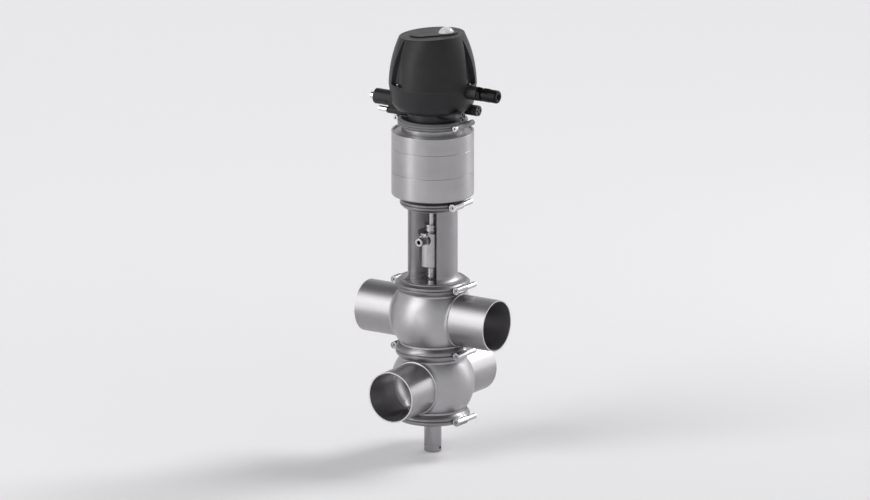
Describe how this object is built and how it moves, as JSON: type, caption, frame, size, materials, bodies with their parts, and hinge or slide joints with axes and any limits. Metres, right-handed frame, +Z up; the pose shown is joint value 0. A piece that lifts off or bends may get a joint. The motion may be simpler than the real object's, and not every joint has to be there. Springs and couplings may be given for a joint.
{
  "type": "mixproof valve",
  "caption": "Double-seat mixproof valve in stainless steel with clamped housings, four pipe ports, a lantern, a pneumatic lift actuator and a charcoal control head.",
  "frame": {"origin": "on the valve axis at the open lower end of the drain pipe", "axes": "+Z up the valve axis towards the control head, X through the upper housing's ports, Y through the lower housing's ports with the flushing inlet at -Y"},
  "size_m": [0.253, 0.25, 0.7148],
  "materials": {
    "satin_steel": "satin",
    "turned_steel": "satin",
    "cast_steel": "satin",
    "brushed_cylinder": "satin",
    "turned_aluminium": "satin",
    "black_rubber": "matte",
    "bearing_plastic": "matte",
    "spring_steel": "satin",
    "black_plastic": "matte",
    "pale_plastic": "matte",
    "charcoal_plastic": "satin",
    "grey_plastic": "matte",
    "coupling_plastic": "matte",
    "white_lens": "gloss",
    "bright_nickel": "polished",
    "board_green": "satin"
  },
  "bodies": {
    "root": {"upper_housing": "satin_steel", "lower_housing": "satin_steel", "lantern": "satin_steel", "bearing_disc": "turned_steel", "bottom_disc": "turned_steel", "seat_ring": "turned_steel", "clamp_screws": "turned_steel", "bottom_clamp_front": "cast_steel", "bottom_clamp_rear": "cast_steel", "middle_clamp_front": "cast_steel", "middle_clamp_rear": "cast_steel", "top_clamp_front": "cast_steel", "top_clamp_rear": "cast_steel", "lantern_clamp_front": "cast_steel", "lantern_clamp_rear": "cast_steel", "head_clamp_front": "pale_plastic", "head_clamp_rear": "pale_plastic", "actuator_base": "brushed_cylinder", "actuator_tube": "brushed_cylinder", "actuator_cap": "brushed_cylinder", "housing_seals": "black_rubber", "drain_seal": "black_rubber", "stem_seal": "black_rubber", "rod_seals": "black_rubber", "hood_gasket": "black_rubber", "gland_seal": "black_rubber", "stem_bearing": "bearing_plastic", "drain_bearing": "bearing_plastic", "rod_bushes": "bearing_plastic", "main_spring": "spring_steel", "head_adapter": "black_plastic", "control_base": "charcoal_plastic", "control_hood": "charcoal_plastic", "status_dome": "white_lens", "hood_screws": "turned_steel", "cable_gland": "grey_plastic", "gland_nut": "grey_plastic", "air_couplings": "coupling_plastic", "air_nipples": "bright_nickel", "position_sensor": "grey_plastic", "pilot_valves": "grey_plastic", "circuit_board": "board_green"},
    "upper_disc_body": {"upper_disc": "turned_steel", "upper_stem": "turned_steel", "upper_disc_seal": "black_rubber", "middle_seal": "black_rubber", "flush_sleeve": "turned_steel", "sleeve_cap": "turned_steel", "flush_connector": "turned_steel", "sleeve_spring": "spring_steel"},
    "lower_disc_body": {"lower_disc": "turned_steel", "inner_rod": "turned_steel", "lower_disc_seal": "black_rubber", "drain_pipe": "turned_steel", "lock_nut": "turned_steel", "piston_rod": "turned_steel", "main_piston": "turned_aluminium", "piston_seals": "black_rubber", "piston_nut": "turned_steel", "switch_bar": "turned_steel"}
  },
  "joints": [
    {"name": "upper_disc_lift", "type": "slide", "parent": "root", "child": "upper_disc_body", "axis": [0, 0, 1], "range_m": [0, 0.03], "deforming": ["main_spring"]},
    {"name": "lower_disc_lift", "type": "slide", "parent": "upper_disc_body", "child": "lower_disc_body", "axis": [0, 0, 1], "range_m": [0, 0.009], "deforming": ["sleeve_spring", "main_spring"]}
  ]
}
